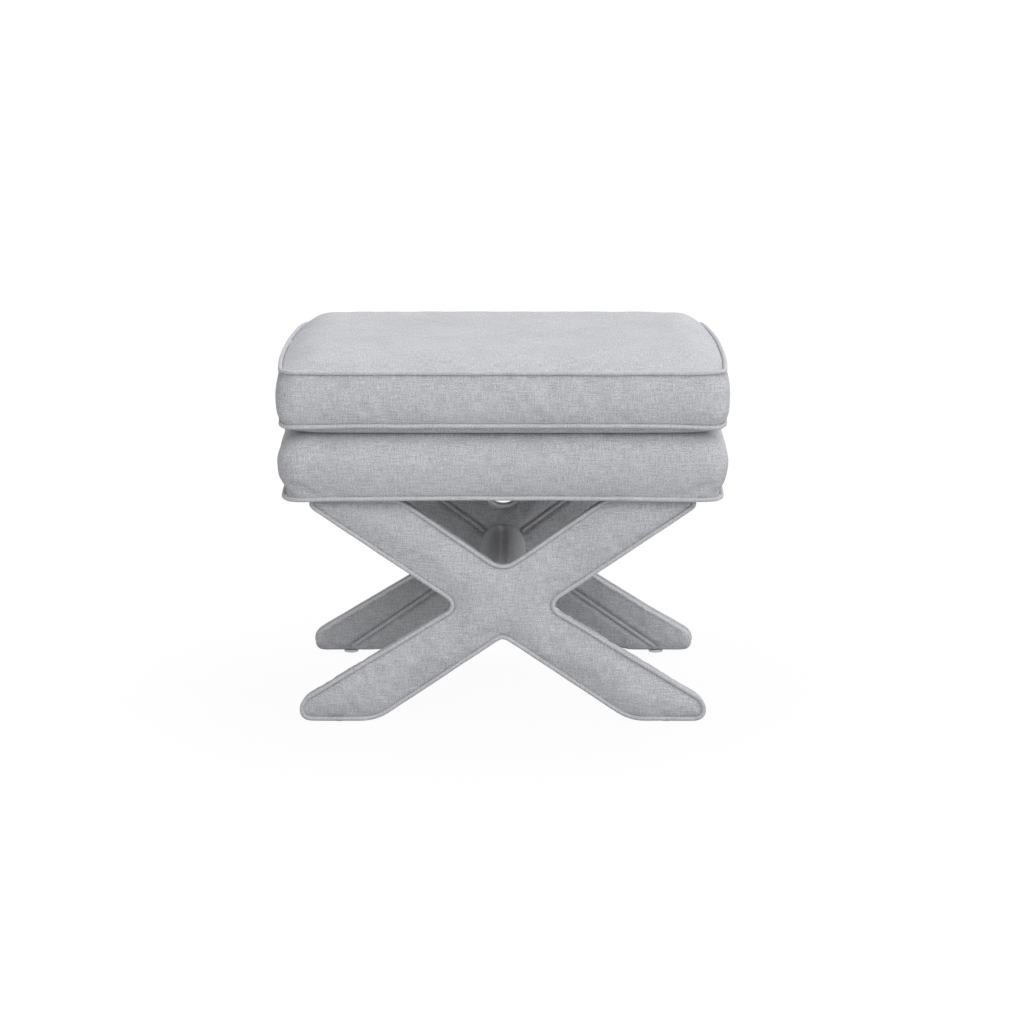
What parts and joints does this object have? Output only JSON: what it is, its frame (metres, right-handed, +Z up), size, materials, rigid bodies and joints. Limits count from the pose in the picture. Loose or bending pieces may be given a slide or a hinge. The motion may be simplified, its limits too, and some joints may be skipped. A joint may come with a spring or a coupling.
{
  "type": "x frame stool",
  "caption": "Upholstered rectangular stool: a loose piped box cushion on a padded seat box, carried by X shaped padded end frames joined by a round padded stretcher.",
  "frame": {"origin": "on the floor, below the middle of the stool", "axes": "+X along the width, +Y from front to back, +Z up"},
  "size_m": [0.563, 0.4556, 0.4652],
  "materials": {
    "linen": "plain woven light grey linen look, matt",
    "piping": "the same cloth cut on the bias over cord",
    "wadding": "soft white polyester wadding",
    "foam": "cream upholstery foam",
    "timber": "plain planed softwood",
    "plywood": "plain sanded plywood",
    "dust_cloth": "thin black non-woven cloth",
    "steel": "zinc plated",
    "glide": "pale grey moulded plastic",
    "zip_tape": "close woven grey tape",
    "zip_coil": "grey nylon coil",
    "zip_metal": "nickel plated"
  },
  "bodies": {
    "base": {"arm_screws": "steel", "back_x_board_falling": "timber", "back_x_board_rising": "timber", "back_x_cover": "linen", "back_x_edge_welt": "piping", "back_x_padding": "wadding", "back_x_seam_welts": "piping", "deck_screws": "steel", "dust_cover": "dust_cloth", "foot_glides": "glide", "front_x_board_falling": "timber", "front_x_board_rising": "timber", "front_x_cover": "linen", "front_x_edge_welt": "piping", "front_x_padding": "wadding", "front_x_seam_welts": "piping", "glide_nails": "steel", "seat_cleat_back": "timber", "seat_cleat_front": "timber", "seat_corner_blocks": "timber", "seat_cover": "linen", "seat_deck": "plywood", "seat_foam": "foam", "seat_rail_back": "timber", "seat_rail_front": "timber", "seat_rail_left": "timber", "seat_rail_right": "timber", "seat_welt": "piping", "stretcher_bolts": "steel", "stretcher_cover": "linen", "stretcher_dowel": "timber", "stretcher_padding": "wadding", "stretcher_washers": "steel"},
    "cushion": {"cushion_bottom_panel": "linen", "cushion_bottom_welt": "piping", "cushion_boxing": "linen", "cushion_foam": "foam", "cushion_top_panel": "linen", "cushion_top_welt": "piping", "cushion_wadding": "wadding", "zip_tape": "zip_tape", "zip_coil": "zip_coil"},
    "zip_slider": {"zip_slider": "zip_metal"}
  },
  "joints": [
    {"name": "cushion_lift", "type": "slide", "parent": "base", "child": "cushion", "axis": [0, 0, 1], "range_m": [0, 0.12]},
    {"name": "zip_slide", "type": "slide", "parent": "cushion", "child": "zip_slider", "axis": [-1, 0, 0], "range_m": [0, 0.39]}
  ]
}
